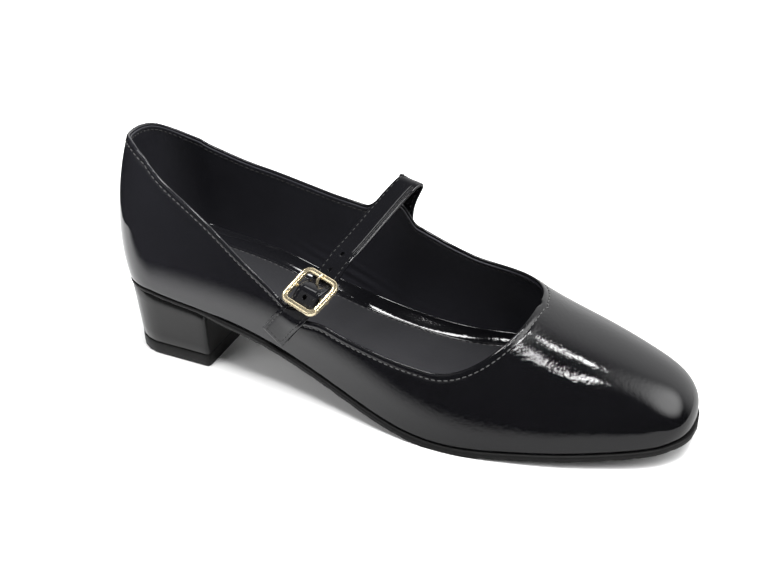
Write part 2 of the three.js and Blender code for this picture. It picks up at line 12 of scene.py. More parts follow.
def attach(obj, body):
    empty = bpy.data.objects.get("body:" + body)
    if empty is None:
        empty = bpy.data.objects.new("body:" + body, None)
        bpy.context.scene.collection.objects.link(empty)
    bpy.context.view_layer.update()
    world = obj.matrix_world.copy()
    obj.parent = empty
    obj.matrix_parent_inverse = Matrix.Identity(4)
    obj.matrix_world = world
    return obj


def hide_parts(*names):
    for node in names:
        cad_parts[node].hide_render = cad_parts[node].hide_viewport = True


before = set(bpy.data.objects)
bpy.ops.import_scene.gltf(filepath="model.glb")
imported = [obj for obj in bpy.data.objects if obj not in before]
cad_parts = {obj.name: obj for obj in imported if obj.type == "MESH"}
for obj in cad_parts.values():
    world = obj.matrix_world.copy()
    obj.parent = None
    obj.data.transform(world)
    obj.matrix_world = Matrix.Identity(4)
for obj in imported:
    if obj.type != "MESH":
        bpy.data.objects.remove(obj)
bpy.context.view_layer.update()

# ---------------------------------------------------------------- driving dimensions
MIDDLE = Vector((124.731, -1.228, 0))   # middle of the finished shoe, in last coordinates
WALL = 1.8                      # upper: leather, lining and glue
HEEL_END = 26
TOE_END = 258
HEEL_DEPTH = 19.6
HEEL_ROUND = 2.15
SOLE_EDGE = 0.8
SOLE_THICK = 2.4
SEAT_EDGE = -0.3
SEAT_THICK = 1.6
SOCK_INSET = 2.6
SOCK_THICK = 2.2
SOCK_LIFT = 0.1                 # footbed over the feather edge
SOCK_ROW = 4.2                  # its stitch row in from its rim
FLAT_SPOT = {"start": 140, "full": 150, "fade": 165, "end": 180, "depth": 0.35}
SEAT_FADE = (46, 62)            # the seat of the sole turns into its waist between these
GAP = 0.3
BREAST_X = 50.4
HEEL_TOP_INSET = 0.6
HEEL_FOOT_INSET = 1.7
HEEL_RAKE = 2.3                 # the back of the heel leans forward this much going down
TOP_PIECE = 5.4
STRAP_WIDTH = 11.4
STRAP_THICK = 1.5
TAB_WIDTH = 10.8
TAB_THICK = 1.0
TAB_DEPTH = 3.5
PRONG_RADIUS = 0.55
BAR_CLEAR = 3.4 * GAP           # from the end bars of the buckle down to the strap
BUCKLE = {"across": 18.6, "along": 17.4, "corner": 4.0, "bar": 2.1, "thick": 1.5, "rise": 0.6,
          "pin_radius": 0.7, "pin_drop": 0.9}

PATENT_THICK = 0.95             # the outside leather
FOLD = 0.6                      # radius of its turned edge along the topline
LINING_TOP = 0.9                # lining is trimmed this far below the topline
STITCH_DROP = 2.7               # stitch row below the topline
STITCH_PITCH = 2.4
STITCH_LENGTH = 1.75
THREAD = 0.26                   # radius of the thread
STRAP_INSET = 1.5               # stitch rows in from the edges of the strap
STRAP_CROSS_ROWS = (1.5, 8.5)   # rows across it, back from its inner end
TAB_INSET = 1.4
BORDER_RISE = (6.8, 5.4, 4.0)   # glossy strip: heights up the lining
BORDER_LIFT = (0.12, 0.7, 1.8)  # and how far it stands off the lining there
BORDER_WIDTH = 4.0
HOLE_RADIUS = 0.95              # punched holes in the strap
HOLE_PITCH = 7.6
FIRST_HOLE = -3.1               # from the middle of the buckle

STATION_COLUMNS = "foot_x lat med foot_z crest_x crest_y crest_z tilt_lat tilt_med rise run".split()
STATIONS = [
    (0, 26, 26, 25, 33.0, 27, 0, 118, 14, 14, 0.40, 0.62),
    (13, 26, 26, 25, 32.8, 27, 0, 118, 13, 13, 0.38, 0.63),
    (26, 26, 26, 25, 31.6, 27, 0, 118, 10, 10, 0.35, 0.68),
    (55, 55, 27, 24.5, 27.4, 55, 1, 112, 9, 13, 0.34, 0.80),
    (85, 85, 29, 22, 20.8, 85, 2, 101, 10, 17, 0.33, 0.86),
    (115, 115, 34, 25, 11.2, 115, 2.5, 85, 8, 15, 0.33, 0.87),
    (145, 145, 39.5, 32.5, 3.6, 145, 1, 67, 6, 9, 0.33, 0.84),
    (165, 165, 40, 37, 3.0, 166, 0, 57.0, 5, 5, 0.34, 0.80),
    (185, 184, 37, 37.5, 4.4, 186, 0.25, 46.8, 4, 4, 0.36, 0.78),
    (205, 202, 32.5, 34.5, 5.8, 207, 1, 39.2, 4, 4, 0.40, 0.76),
    (222, 216, 27.5, 30, 6.9, 225, 1.25, 32.6, 4, 4, 0.45, 0.74),
    (236, 226, 23.5, 26, 7.9, 236.7, 1.25, 27.0, 4, 4, 0.50, 0.72),
    (246, 232, 20.5, 23, 8.6, 242.3, 1.25, 21.6, 4, 4, 0.50, 0.70),
    (252, 235.5, 18.3, 20.8, 9.0, 244.6, 1.25, 16.6, 4, 4, 0.50, 0.68),
    (258, 237.5, 16.5, 19, 9.3, 244.7, 1.25, 10.0, 4, 4, 0.50, 0.66),
]

TOPLINE_COLUMNS = "lat med".split()
TOPLINE = [
    (0, 91.1, 91.1), (8, 92.5, 88.6), (13, 93.4, 85.5), (18, 93.0, 82.4), (22, 91.4, 80.3),
    (27, 88.4, 78.6), (31, 86.0, 77.5), (36, 82.5, 76.1), (42, 78.2, 74.1), (48, 73.8, 72.0),
    (58, 65.7, 69.8), (70, 56.1, 67.8), (80, 49.6, 66.4), (88, 43.8, 65.2), (96, 38.6, 64.2),
    (104, 38.8, 63.0), (112, 37.2, 61.6), (124, 35.0, 57.8), (136, 33.3, 52.2), (148, 32.2, 47.6),
]
EAR = {"back": 101, "top": 111.5, "front": 117.5, "end": 123, "rise": 9.0}
THROAT_REACH = 33.6
THROAT_ROUND = 2.4
FEATHER_CORNER = 0.84           # share of the throat's columns that end along the sides of the toe
FORWARD_LEAN = (60, 150)        # the wall starts to lean forward between these stations

STRAP_COLUMNS = "x y z across_x across_y across_z".split()
STRAP_LINE = [
    (83.8, -35.1, 27.6, 0.80, -0.10, -0.60),
    (89.3, -35.8, 35.2, 0.81, -0.12, -0.58),
    (93.4, -36.0, 40.9, 0.82, -0.24, -0.52),
    (95.9, -33.4, 44.8, 0.82, -0.42, -0.33),
    (99.1, -27.2, 48.7, 0.85, -0.50, -0.16),
    (102.6, -18.4, 54.5, 0.90, -0.43, -0.06),
    (106.7, -8.3, 59.6, 0.924, -0.383, 0),
    (110.4, 2.1, 64.9, 0.924, -0.383, 0),
    (114.1, 13.0, 70.4, 0.924, -0.383, 0),
    (116.8, 19.4, 74.1, 0.93, -0.37, 0),
    (119.2, 25.2, 75.9, 0.94, -0.34, 0),
    (118.0, 25.7, 72.2, 0.96, -0.26, 0.02),
    (116.2, 23.9, 66.6, 0.985, -0.15, 0.03),
    (115.0, 24.1, 60.0, 1, -0.03, 0.02),
    (114.4, 26.1, 52.0, 1, 0, 0.02),
]
BUCKLE_ROW = 4
STRAP_START_ROW = 3


# ---------------------------------------------------------------- curves through the tables
def spline(xs, ys):
    """Natural cubic spline through (xs, ys)."""
    end = len(xs) - 1
    bend = [0.0] * (end + 1)
    over = [0.0] * (end + 1)
    rest = [0.0] * (end + 1)
    for i in range(1, end):
        before = xs[i] - xs[i - 1]
        after = xs[i + 1] - xs[i]
        load = 6 * ((ys[i + 1] - ys[i]) / after - (ys[i] - ys[i - 1]) / before)
        pivot = 2 * (before + after) - before * over[i - 1]
        over[i] = after / pivot
        rest[i] = (load - before * rest[i - 1]) / pivot
    for i in range(end - 1, 0, -1):
        bend[i] = rest[i] - over[i] * bend[i + 1]

    def value(x):
        i = 0
        while i < end - 1 and x > xs[i + 1]:
            i += 1
        span = xs[i + 1] - xs[i]
        t = x - xs[i]
        r = xs[i + 1] - x
        cubic = (bend[i] * r ** 3 + bend[i + 1] * t ** 3) / (6 * span)
        left = (ys[i] / span - bend[i] * span / 6) * r
        right = (ys[i + 1] / span - bend[i + 1] * span / 6) * t
        return cubic + left + right

    return value


def splines(columns, rows, keys=None):
    """A spline for each named column, over the table's first column or over keys."""
    first = 0 if keys else 1
    keys = keys or [row[0] for row in rows]
    return {name: spline(keys, [row[k + first] for row in rows]) for k, name in enumerate(columns)}


def smoothstep(start, end, x):
    t = min(1, max(0, (x - start) / (end - start)))
    return t * t * (3 - 2 * t)


def crowded(k, count, even):
    """Place k of count from 0 to 1, crowded towards both ends by what is not even."""
    return even * k / count + (1 - even) * (1 - math.cos(math.pi * k / count)) / 2


def hump(middle, width, x):
    """Soft rise of height 1 round the middle."""
    return math.exp(-((x - middle) / width) ** 2)


last = splines(STATION_COLUMNS, STATIONS)
topline = splines(TOPLINE_COLUMNS, TOPLINE)
THROAT_START = TOPLINE[-1][0]
LAT, MED = -1, 1


# ---------------------------------------------------------------- surface of the last
def foot_point(u, side):
    """Feather edge at a station, on one side."""
    half = last["lat"] if side == LAT else last["med"]
    if u >= HEEL_END:
        return Vector((last["foot_x"](u), side * half(u), last["foot_z"](u)))
    turn = (1 - u / HEEL_END) * math.pi / 2
    back = HEEL_DEPTH * math.sin(turn) ** (2 / HEEL_ROUND)
    wide = half(HEEL_END) * max(0, math.cos(turn)) ** (2 / HEEL_ROUND)
    return Vector((last["foot_x"](HEEL_END) - back, side * wide, last["foot_z"](u)))


@lru_cache(maxsize=None)
def arch(u, side):
    """The four control points of the cubic arch from the feather edge to the crest."""
    foot = foot_point(u, side)
    behind = u < HEEL_END
    at = HEEL_END if behind else u
    crest = Vector((last["crest_x"](at), last["crest_y"](at), last["crest_z"](u)))
    out = Vector((0, side, 0))
    if behind:
        out = Vector((foot.x - last["foot_x"](HEEL_END), foot.y, 0)).normalized()
    fore = smoothstep(*FORWARD_LEAN, u)
    tilt = math.radians(last["tilt_lat" if side == LAT else "tilt_med"](u))
    rise, run = last["rise"](u), last["run"](u)
    low = foot + (Vector((0, 0, 1)) + out * math.tan(tilt)) * (crest.z - foot.z) * rise
    if fore > 0:
        along = foot_point(min(TOE_END, u + 0.5), side) - foot_point(u - 0.5, side)
        along.z = 0
        low += along.normalized() * fore * (crest.x - foot.x) * rise
    high = crest.copy()
    high.x += (1 - fore) * run * (foot.x - crest.x)
    high.y += run * (foot.y - crest.y)
    return foot, low, high, crest


def last_point(u, side, t):
    foot, low, high, crest = arch(u, side)
    s = 1 - t
    return foot * s ** 3 + low * (3 * s * s * t) + high * (3 * s * t * t) + crest * t ** 3


def solve(rising, value):
    """Parameter in 0..1 at which a rising function passes a value."""
    low, high = 0.0, 1.0
    for _ in range(32):
        middle = (low + high) / 2
        if rising(middle) < value:
            low = middle
        else:
            high = middle
    return (low + high) / 2


# ---------------------------------------------------------------- edges of the upper
def topline_height(u, side):
    if side == LAT:
        return topline["lat"](u)
    ear = smoothstep(EAR["back"], EAR["top"], u) * (1 - smoothstep(EAR["front"], EAR["end"], u))
    return topline["med"](u) + EAR["rise"] * ear


def quarter_top(u, side):
    height = topline_height(u, side)
    return u, solve(lambda t: last_point(u, side, t).z, height)


def throat_top(turn, side):
    """Topline round the throat: turn goes from 0 at the quarter to 1 on the crest."""
    u, t = quarter_top(THROAT_START, side)
    edge = last_point(u, side, t)
    angle = turn * math.pi / 2
    x = edge.x + THROAT_REACH * math.sin(angle) ** (2 / THROAT_ROUND)
    y = side * edge.y * max(0, math.cos(angle)) ** (2 / THROAT_ROUND)
    if turn >= 1:
        return x, 1.0
    u, t = x, 1.0
    for _ in range(10):
        shift = math.sin(angle) ** 6 * side * last["crest_y"](u)
        t = solve(lambda s: -side * last_point(u, side, s).y, -(y + shift))
        u += x - last_point(u, side, t).x
    return u, t


def feather_end(part):
    """Feather edge under the throat: along the side, then in to the middle of the toe."""
    if part <= FEATHER_CORNER:
        return THROAT_START + (TOE_END - THROAT_START) * part / FEATHER_CORNER, 0.0
    return float(TOE_END), (part - FEATHER_CORNER) / (1 - FEATHER_CORNER)


BENDS = {LAT: (84, 108, 1.6), MED: (94, 126, 1.25)}   # start, end and step of the close columns
HEEL_STEP = HEEL_END / 12
PLAIN_STEP = 2.7
THROAT_COLUMNS = 42


def quarter_stations(side):
    """Stations of the columns of one side, closer together where the topline bends."""
    start, end, fine = BENDS[side]
    stations, u = [], 0.0
    while u < THROAT_START - 1:
        stations.append(u)
        if u < HEEL_END:
            u += HEEL_STEP
        elif start <= u < end:
            u += fine
        else:
            u += PLAIN_STEP
    return stations


def side_columns(side, count=THROAT_COLUMNS):
    columns = [(side, (u, 0.0), quarter_top(u, side)) for u in quarter_stations(side)]
    for i in range(count + 1):
        columns.append((side, feather_end(i / count), throat_top(i / count, side)))
    return columns


def column_path(column, fine=56):
    """Fine points up the outside from the feather edge, with the distance reached at each."""
    side, foot, top = column
    path = []
    for i in range(fine + 1):
        k = i / fine
        path.append(last_point(foot[0] + (top[0] - foot[0]) * k, side, foot[1] + (top[1] - foot[1]) * k))
    reach = [0.0]
    for a, b in zip(path, path[1:]):
        reach.append(reach[-1] + (b - a).length)
    return path, reach


def point_at(path, reach, goal):
    i = 1
    while i < len(path) - 1 and reach[i] < goal:
        i += 1
    k = (goal - reach[i - 1]) / (reach[i] - reach[i - 1])
    return path[i - 1].lerp(path[i], k)


EDGE_DROPS = [6.2, 5.0, 4.0, 3.4, 3.0, 2.7, 2.4, 2.0, 1.5, 1.05, 0.6]   # rows near the topline
BODY_ROWS = 26


def upper_grid():
    """Points and outward normals of the last's surface, column by column round the shoe. Each
    cell knows its drop below the topline and its rise over the feather edge."""
    outer = side_columns(LAT)
    inner = side_columns(MED)[1:-1]
    inner.reverse()
    paths = [column_path(column) for column in outer + inner]
    grid = []
    for path, reach in paths:
        length = reach[-1]
        body = length - EDGE_DROPS[0]
        goals = [body * k / BODY_ROWS for k in range(BODY_ROWS)] + [length - d for d in EDGE_DROPS]
        goals.append(length)
        grid.append([(point_at(path, reach, goal), length - goal) for goal in goals])
    count, rows = len(grid), len(grid[0])
    columns = []
    for i, column in enumerate(grid):
        left, right = grid[i - 1], grid[(i + 1) % count]
        cells = []
        for j, (point, drop) in enumerate(column):
            around = right[j][0] - left[j][0]
            up = column[min(rows - 1, j + 1)][0] - column[max(0, j - 1)][0]
            normal = around.cross(up).normalized()
            cells.append({"point": point, "normal": normal, "up": up.normalized(), "drop": drop,
                          "rise": paths[i][1][-1] - drop})
        columns.append(cells)
    return columns


UPPER = upper_grid()


# ---------------------------------------------------------------- mesh helpers
def place(p):
    """Last coordinates in millimetres to metres of the shared frame."""
    return (Vector(p) - MIDDLE) / 1000


def net(columns, round_closed=False, ring_closed=False):
    """A net of quads through equal columns of points, made from a grid whose vertices are
    moved into place. A direction that closes on itself is joined up."""
    columns = [list(column) for column in columns]
    if ring_closed:
        columns = [column + [column[0]] for column in columns]
    if round_closed:
        columns.append(columns[0])
    across, up = len(columns) - 1, len(columns[0]) - 1
    bm = bmesh.new()
    bm.loops.layers.uv.new("UVMap")
    bmesh.ops.create_grid(bm, x_segments=across, y_segments=up, size=0.5, calc_uvs=True)
    for v in bm.verts:
        i = round((v.co.x + 0.5) * across)
        j = round((v.co.y + 0.5) * up)
        v.co = place(columns[i][j])
    if ring_closed or round_closed:
        bmesh.ops.remove_doubles(bm, verts=bm.verts, dist=1e-7)
    return bm


def cap(bm):
    """Closes the open ends and turns every face outwards."""
    edges = [edge for edge in bm.edges if edge.is_boundary]
    if edges:
        bmesh.ops.holes_fill(bm, edges=edges, sides=0)
    bmesh.ops.recalc_face_normals(bm, faces=bm.faces)
    return bm


def ease_edges(bm, width, segments):
    """Rounds off every sharp edge."""
    sharp = [edge for edge in bm.edges
             if len(edge.link_faces) == 2 and edge.calc_face_angle(0) > math.radians(60)]
    bmesh.ops.bevel(bm, geom=sharp, offset=width, offset_type="OFFSET", affect="EDGES",
                    segments=segments, profile=0.5, material=-1, clamp_overlap=True)


def added(name, bm, material=None):
    """The mesh as an object in the scene."""
    mesh = bpy.data.meshes.new(name)
    bm.to_mesh(mesh)
    bm.free()
    if material:
        mesh.materials.append(material)
    thing = bpy.data.objects.new(name, mesh)
    bpy.context.scene.collection.objects.link(thing)
    return thing


def finished(name, bm, material, replaces=None, levels=0, sharp=None):
    """The piece as an object that rides on the shoe's one body."""
    for face in bm.faces:
        face.smooth = True
    piece = added(name, bm, material)
    if sharp:
        piece.data.set_sharp_from_angle(angle=math.radians(sharp))
    if levels:
        smooth = piece.modifiers.new("smooth", "SUBSURF")
        smooth.levels = levels
        smooth.render_levels = levels
    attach(piece, "root")
    if replaces:
        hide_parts(replaces)
    return piece


def thread_row(name, places, material, length=STITCH_LENGTH, radius=THREAD):
    """Stitches: one long bead of thread at each place, given as point, along and out."""
    bm = bmesh.new()
    for point, along, out in places:
        along = along.normalized()
        across = out.cross(along).normalized()
        lift = along.cross(across)
        turn = Matrix((along, across, lift)).transposed().to_4x4()
        size = Matrix.Diagonal((length / 2000, radius / 1000, radius / 1000, 1))
        bmesh.ops.create_uvsphere(bm, u_segments=8, v_segments=8, radius=1,
                                  matrix=Matrix.Translation(place(point)) @ turn @ size)
    return finished(name, bm, material)


def spaced(path, pitch, closed=False):
    """Places a pitch apart along a path of (point, out), as point, along and out."""
    if closed:
        path = path + [path[0]]
    reach = [0.0]
    for (a, _), (b, _) in zip(path, path[1:]):
        reach.append(reach[-1] + (b - a).length)
    count = round(reach[-1] / pitch)
    places, i = [], 1
    for k in range(count):
        goal = (k + 0.5) * reach[-1] / count
        while reach[i] < goal:
            i += 1
        share = (goal - reach[i - 1]) / (reach[i] - reach[i - 1])
        (a, out_a), (b, out_b) = path[i - 1], path[i]
        places.append((a.lerp(b, share), b - a, out_a.lerp(out_b, share)))
    return places


# ---------------------------------------------------------------- shader maths
class Value:
    """A shader socket. Python's operators on it add Math nodes."""

    def __init__(self, shading, socket):
        self.shading = shading
        self.socket = socket

    def math(self, operation, *others):
        values = dict(enumerate((self, *others)))
        return self.shading.node("ShaderNodeMath", {"operation": operation}, values)

    def __add__(self, other):
        return self.math("ADD", other)

    def __mul__(self, other):
        return self.math("MULTIPLY", other)

    def __sub__(self, other):
        return self.math("SUBTRACT", other)

    def __truediv__(self, other):
        return self.math("DIVIDE", other)

    def __pow__(self, other):
        return self.math("POWER", other)

    def __rsub__(self, other):
        return self * -1 + other

    def __rtruediv__(self, other):
        return self.math("POWER", -1) * other

    __radd__ = __add__
    __rmul__ = __mul__


MIX_SOCKETS = {"RGBA": (6, 2), "FLOAT": (2, 0)}   # first of the two mixed inputs, and the result


class Shading:
    """The nodes of a material or of the world, added one by one."""

    def __init__(self, tree):
        self.nodes = tree.nodes
        self.links = tree.links

    def put(self, socket, value):
        """Links a value to a socket, or writes a plain one into it."""
        if isinstance(value, Value):
            self.links.new(value.socket, socket)
        else:
            socket.default_value = value

    def node(self, kind, settings=None, sockets=None, output=0):
        node = self.nodes.new(kind)
        for key, value in (settings or {}).items():
            setattr(node, key, value)
        for key, value in (sockets or {}).items():
            self.put(node.inputs[key], value)
        return Value(self, node.outputs[output])

    def blend(self, factor, one, two, kind="RGBA"):
        """Mix of two colours, or of two numbers."""
        first, result = MIX_SOCKETS[kind]
        return self.node("ShaderNodeMix", {"data_type": kind},
                         {0: factor, first: one, first + 1: two}, result)

    def ramp(self, value, start, end, low=0.0, high=1.0):
        """A soft climb from low to high while the value goes from start to end."""
        return self.node("ShaderNodeMapRange", {"interpolation_type": "SMOOTHSTEP"}, {
            "Value": value, "From Min": start, "From Max": end, "To Min": low, "To Max": high})


class Finish(Shading):
    """A material under construction, with a Principled shader."""

    def __init__(self, name, **constants):
        self.material = bpy.data.materials.new(name)
        self.material.use_nodes = True
        super().__init__(self.material.node_tree)
        self.shader = self.nodes["Principled BSDF"]
        for socket, value in constants.items():
            self.set(socket.replace("_", " "), value)
        self.place = self.node("ShaderNodeTexCoord", output="Object")

    def axis(self, name):
        """One of the object coordinates."""
        return self.node("ShaderNodeSeparateXYZ", None, {"Vector": self.place}, name)

    def round_x(self, middle, spread):
        """1 at a place along the shoe, falling off softly on both sides."""
        away = (self.axis("X") - middle) * (1 / spread)
        return 1 / (away * away + 1)

    def noise(self, scale, detail=2.0, roughness=0.5, distortion=0.0, coords=None):
        return self.node("ShaderNodeTexNoise", None, {
            "Vector": coords or self.place, "Scale": scale, "Detail": detail,
            "Roughness": roughness, "Distortion": distortion})

    def stretched(self, scale):
        """Object coordinates drawn out, for grain that runs one way."""
        return self.node("ShaderNodeMapping", None, {"Vector": self.place, "Scale": scale})

    def set(self, socket, value):
        self.put(self.shader.inputs[socket], value)

    def bump(self, height, depth_mm, strength=1.0):
        """Relief of the given depth where height runs from 0 to 1."""
        bump = self.node("ShaderNodeBump", None, {
            "Height": height, "Distance": depth_mm / 1000, "Strength": strength})
        self.set("Normal", bump)


def grey(value, tint=1.0):
    return (value, value, value * tint, 1)


FLEX_X = 0.050                  # where the toes bend the leather, in metres of the frame
FLEX_SPREAD = 0.030
HEEL_SHEEN_X = -0.11                  # painted sheen: the leather's colour is lighter round the heel, for a soft reflection on the quarter
HEEL_SHEEN_SPREAD = 0.07


def patent_finish():
    """Black patent leather: glossy, a little rippled, and pebbled where the toes bend it. Its colour has
    a painted sheen, lighter round the heel.
    """
    finish = Finish("black_patent", Specular_IOR_Level=0.5, IOR=1.5)
    flexed = finish.round_x(FLEX_X, FLEX_SPREAD)
    # painted sheen: this mask, named worn, is no wear; it lightens the colour round the heel for a soft
    # reflection on the quarter
    worn = finish.round_x(HEEL_SHEEN_X, HEEL_SHEEN_SPREAD)
    ripple = finish.noise(110, 2.0, 0.45)
    peel = finish.noise(640, 3.0, 0.55)
    smear = finish.noise(45, 3.0, 0.6)
    # colour: random smears, and the painted sheen round the heel
    smear_and_heel_sheen = smear * 0.2 + worn * 0.8
    finish.set("Base Color", finish.blend(smear_and_heel_sheen, grey(0.0015, 1.15), grey(0.013, 1.2)))
    finish.set("Roughness", smear * 0.05 + 0.04)
    finish.bump(ripple * 0.45 + peel * (flexed * 1.15 + 0.08), 0.08)
    return finish.material


def lining_finish():
    """Smooth lining leather, satin, with a fine drawn grain and faint rubbed patches."""
    finish = Finish("lining_leather", Specular_IOR_Level=0.45)
    grain = finish.noise(1900, 4.0, 0.6)
    drawn = finish.noise(1.0, 3.0, 0.6, 0.0, finish.stretched((260, 1300, 120)))
    rubbed = finish.noise(38, 3.0, 0.55)
    finish.set("Base Color", finish.blend(rubbed, (0.011, 0.011, 0.014, 1), (0.024, 0.024, 0.030, 1)))
    finish.set("Roughness", rubbed * 0.18 + 0.34)
    finish.bump(grain * 0.45 + drawn * 0.55, 0.05)
    return finish.material


def footbed_finish():
    """Footbed leather: matt, with a shallow pebble."""
    finish = Finish("footbed_leather", Specular_IOR_Level=0.4)
    pebble = finish.node("ShaderNodeTexVoronoi", {"feature": "SMOOTH_F1"}, {
        "Vector": finish.place, "Scale": 1150.0, "Smoothness": 0.7}, "Distance")
    grain = finish.noise(2600, 3.0, 0.6)
    worn = finish.noise(30, 3.0, 0.55)
    finish.set("Base Color", finish.blend(worn, (0.016, 0.016, 0.018, 1), (0.028, 0.028, 0.031, 1)))
    finish.set("Roughness", worn * 0.12 + 0.46)
    finish.bump(pebble * 0.7 + grain * 0.3, 0.05)
    return finish.material


def sole_finish():
    """Matt black rubber with a fine moulded texture and light scuffs."""
    finish = Finish("sole_rubber", Specular_IOR_Level=0.22)
    grit = finish.noise(2400, 3.0, 0.65)
    scuff = finish.noise(1.0, 4.0, 0.7, 0.0, finish.stretched((90, 420, 300)))
    worn = scuff.math("SMOOTH_MIN", 1.0, 0.2) ** 3
    finish.set("Base Color", finish.blend(worn, grey(0.005), grey(0.014)))
    finish.set("Roughness", grit * 0.2 + 0.42)
    finish.bump(grit, 0.06)
    return finish.material


def heel_finish():
    """Lacquered heel cover, glossy, with a slow wave under the lacquer."""
    finish = Finish("heel_lacquer", Specular_IOR_Level=0.28)
    wave = finish.noise(70, 2.0, 0.5)
    dust = finish.noise(900, 3.0, 0.6)
    finish.set("Base Color", finish.blend(wave, grey(0.005), grey(0.009)))
    finish.set("Roughness", dust * 0.08 + 0.09)
    finish.bump(wave * 0.8 + dust * 0.2, 0.05)
    return finish.material


def gold_finish():
    """Pale gold plate, brushed a little along the bars."""
    finish = Finish("pale_gold_plate", Metallic=0.88, Specular_IOR_Level=0.8)
    scratch = finish.noise(1.0, 4.0, 0.6, 0.0, finish.stretched((2600, 700, 1500)))
    tone = finish.noise(240, 2.0, 0.5)
    finish.set("Base Color", finish.blend(tone, (0.86, 0.72, 0.47, 1), (0.95, 0.84, 0.60, 1)))
    finish.set("Roughness", scratch * 0.10 + 0.14)
    finish.bump(scratch, 0.004)
    return finish.material


def thread_finish(name, shade):
    """Waxed thread with the twist of its plies."""
    finish = Finish(name, Specular_IOR_Level=0.5, Sheen_Weight=0.15)
    twist = finish.node("ShaderNodeTexWave", {"wave_type": "BANDS", "bands_direction": "DIAGONAL"}, {
        "Vector": finish.place, "Scale": 900.0, "Distortion": 1.5}, "Fac")
    finish.set("Base Color", finish.blend(twist, grey(shade * 0.6), grey(shade)))
    finish.set("Roughness", twist * 0.15 + 0.40)
    finish.bump(twist, 0.05)
    return finish.material


PATENT = patent_finish()
LINING = lining_finish()
FOOTBED = footbed_finish()
SOLE = sole_finish()
HEEL = heel_finish()
GOLD = gold_finish()
# partly painted highlight: dark thread given a lighter grey than the black thread, for the glints on the
# topline and footbed stitches
GLINT_PAINTED_THREAD = thread_finish("grey_thread_painted_glint", 0.065)
DARK_THREAD = thread_finish("black_thread", 0.012)


# ---------------------------------------------------------------- upper
def edge_relief(drop):
    """The turned edge swells a little above the stitches, which pull the leather in."""
    return 0.10 * hump(1.3, 0.7, drop) - 0.16 * hump(STITCH_DROP, 0.45, drop)


def upper_patent():
    """Outside leather: up the last, over the turned edge, and down inside it."""
    columns = []
    for cells in UPPER:
        ring = []
        for cell in cells[:-1]:
            ring.append(cell["point"] + cell["normal"] * edge_relief(cell["drop"]))
        top = cells[-1]
        out, up = top["normal"], top["up"]
        centre = top["point"] - (up + out) * FOLD
        for k in range(1, 6):
            angle = math.pi * k / 6
            ring.append(centre + (out * math.cos(angle) + up * math.sin(angle)) * FOLD)
        for cell in reversed(cells[-8:-1]):
            ring.append(cell["point"] - cell["normal"] * 2 * FOLD)
        for cell in reversed(cells[0:-9:5]):
            ring.append(cell["point"] - cell["normal"] * PATENT_THICK)
        columns.append(ring)
    bm = cap(net(columns, True, True))
    return finished("upper_patent", bm, PATENT, "upper", 1)


LINING_OUT = 2 * FOLD + 0.08
LINING_IN = WALL + 0.12


FOLDS = {"x": 96, "length": 20, "rise": 11, "height": 6, "depth": 0.45}


def lining_relief(point, rise):
    """Folds of the lining over the waist, long and low, that wander a little along the shoe."""
    fade = hump(FOLDS["x"], FOLDS["length"], point.x) * hump(FOLDS["rise"], FOLDS["height"], rise)
    run = point.x * 0.21 + rise * 1.302
    return fade * FOLDS["depth"] * math.sin(run + 1.2 * math.sin(point.x * 0.11))


def upper_lining():
    """Lining: a thin closed shell inside the leather, trimmed just below the turned edge."""
    columns = []
    for cells in UPPER:
        shown = [cell for cell in cells if cell["drop"] > LINING_TOP]
        edge = cells[-1]
        inside = []
        for cell in shown:
            depth = LINING_IN - 0.10 * hump(STITCH_DROP, 0.5, cell["drop"])
            if cell["point"].y > 0:
                depth += lining_relief(cell["point"], cell["rise"])
            inside.append(cell["point"] - cell["normal"] * depth)
        lip = edge["point"] - edge["up"] * LINING_TOP
        ring = [lip - edge["normal"] * LINING_IN * 0.98, lip - edge["normal"] * LINING_OUT]
        outside = [cell["point"] - cell["normal"] * LINING_OUT for cell in shown[::-1][::3]]
        columns.append(inside + ring + outside)
    bm = cap(net(columns, True, True))
    return finished("upper_lining", bm, LINING, None, 1)


def row_at(drop, depth):
    """The closed line round the shoe a fixed drop below the topline, with its normals."""
    line = []
    for cells in UPPER:
        cell = min(cells, key=lambda c: abs(c["drop"] - drop))
        line.append((cell["point"] + cell["normal"] * depth, cell["normal"]))
    return line


def topline_stitches():
    # the outside row uses the thread whose lighter grey is a painted highlight; the lining side of the
    # same seam uses the black thread
    outside = spaced(row_at(STITCH_DROP, -0.06), STITCH_PITCH, True)
    thread_row("topline_stitches", outside, GLINT_PAINTED_THREAD)
    inside = spaced(row_at(STITCH_DROP, -LINING_IN - 0.02), STITCH_PITCH, True)
    thread_row("lining_stitches", inside, DARK_THREAD)


# ---------------------------------------------------------------- sole, footbed and heel
@lru_cache(maxsize=None)
def feather_line(side):
    path = [foot_point(u, side) for u in range(0, TOE_END, 2)]
    path += [last_point(TOE_END, side, min(1, t / 20)) for t in range(21)]
    return path


def outline(side, offset):
    """Feather outline in plan on one side, moved out by an offset, from heel to toe."""
    path = feather_line(side)
    moved = []
    for i, point in enumerate(path):
        along = path[min(len(path) - 1, i + 1)] - path[max(0, i - 1)]
        along.z = 0
        if i == 0:
            along = Vector((0, side, 0))
        if i == len(path) - 1:
            along = Vector((0, -side, 0))
        along.normalize()
        d = offset(point.x)
        moved.append(Vector((point.x - side * along.y * d, point.y + side * along.x * d, 0)))
    return moved


def edge_at(path, x):
    """y of an outline at x."""
    for a, b in zip(path, path[1:]):
        if a.x <= x <= b.x:
            return a.y + (b.y - a.y) * (x - a.x) / max(1e-6, b.x - a.x)
    return path[0 if x < path[0].x else -1].y


